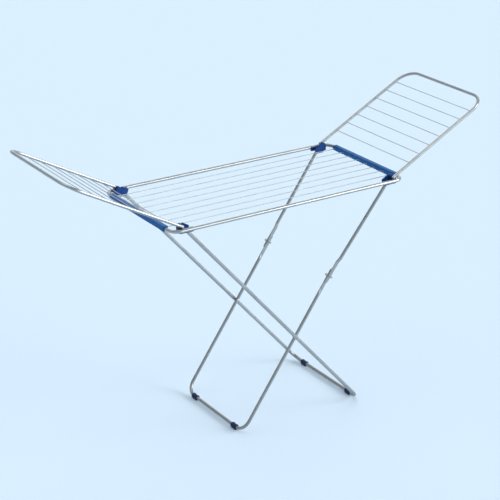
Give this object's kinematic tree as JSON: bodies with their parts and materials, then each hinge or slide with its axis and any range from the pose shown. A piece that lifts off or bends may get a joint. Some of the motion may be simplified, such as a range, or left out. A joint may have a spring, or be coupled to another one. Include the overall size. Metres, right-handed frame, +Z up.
{
  "type": "clothes drying rack",
  "caption": "Free-standing folding airer: a wired tube frame on crossed folding legs, with a hinged, raised wing at each end.",
  "frame": {"origin": "on the floor under the middle of the drying frame", "axes": "+X along the rack, towards the end that the knee-jointed leg hangs from; +Y across it; +Z up"},
  "size_m": [1.8678, 0.514, 1.1946],
  "materials": {
    "tube_silver": "satin silver coating on steel tube",
    "wire": "satin silver coating on steel wire",
    "strip_blue": "moulded, semi-gloss",
    "bracket_blue": "moulded, semi-gloss",
    "foot_blue": "moulded, soft sheen",
    "rivet_steel": "zinc plated",
    "washer_nylon": "natural nylon",
    "plug_grey": "moulded"
  },
  "bodies": {
    "main_frame": {"frame_left_half": "tube_silver", "frame_right_half": "tube_silver", "rail_spigots": "tube_silver", "main_wires": "wire", "end_strip_left": "strip_blue", "end_strip_right": "strip_blue", "corner_bracket_near_left": "bracket_blue", "corner_bracket_far_left": "bracket_blue", "corner_bracket_near_right": "bracket_blue", "corner_bracket_far_right": "bracket_blue", "leg_pins_left": "rivet_steel", "leg_pins_right": "rivet_steel", "wing_pins_left": "rivet_steel", "wing_pins_right": "rivet_steel"},
    "left_wing": {"wing_tube_left": "tube_silver", "wing_wires_left": "wire", "wing_plugs_left": "plug_grey"},
    "right_wing": {"wing_tube_right": "tube_silver", "wing_wires_right": "wire", "wing_plugs_right": "plug_grey"},
    "outer_leg": {"outer_leg_tube": "tube_silver", "outer_leg_plugs": "plug_grey", "outer_foot_near": "foot_blue", "outer_foot_far": "foot_blue", "outer_cross_rivets": "rivet_steel", "outer_cross_washers": "washer_nylon"},
    "upper_leg": {"upper_leg_near": "tube_silver", "upper_leg_far": "tube_silver", "upper_leg_plugs": "plug_grey", "knee_rivets": "rivet_steel", "knee_spacers": "washer_nylon"},
    "lower_leg": {"lower_leg_tube": "tube_silver", "lower_foot_near": "foot_blue", "lower_foot_far": "foot_blue", "inner_cross_rivets": "rivet_steel"}
  },
  "joints": [
    {"name": "right_wing_fold", "type": "hinge", "parent": "main_frame", "child": "right_wing", "pos_m": [0.479, 0, 0.94785], "axis": [0, -1, 0], "range_deg": [0, 150.1]},
    {"name": "left_wing_fold", "type": "hinge", "parent": "main_frame", "child": "left_wing", "pos_m": [-0.479, 0, 0.94785], "axis": [0, 1, 0], "range_deg": [0, 151.8]},
    {"name": "leg_fold", "type": "hinge", "parent": "main_frame", "child": "outer_leg", "pos_m": [-0.455, 0, 0.925], "axis": [0, -1, 0], "range_deg": [0, 44.33]},
    {"name": "upper_leg_fold", "type": "hinge", "parent": "main_frame", "child": "upper_leg", "pos_m": [0.455, 0, 0.925], "axis": [0, 1, 0], "range_deg": [0, 53.42]},
    {"name": "knee_fold", "type": "hinge", "parent": "upper_leg", "child": "lower_leg", "pos_m": [0.2025, 0, 0.585], "axis": [0, -1, 0], "range_deg": [0, 166.77]}
  ],
  "couplings": [
    {"joint": "upper_leg_fold", "follows": "leg_fold", "ratio": 1.2045},
    {"joint": "knee_fold", "follows": "leg_fold", "ratio": 3.7608}
  ]
}
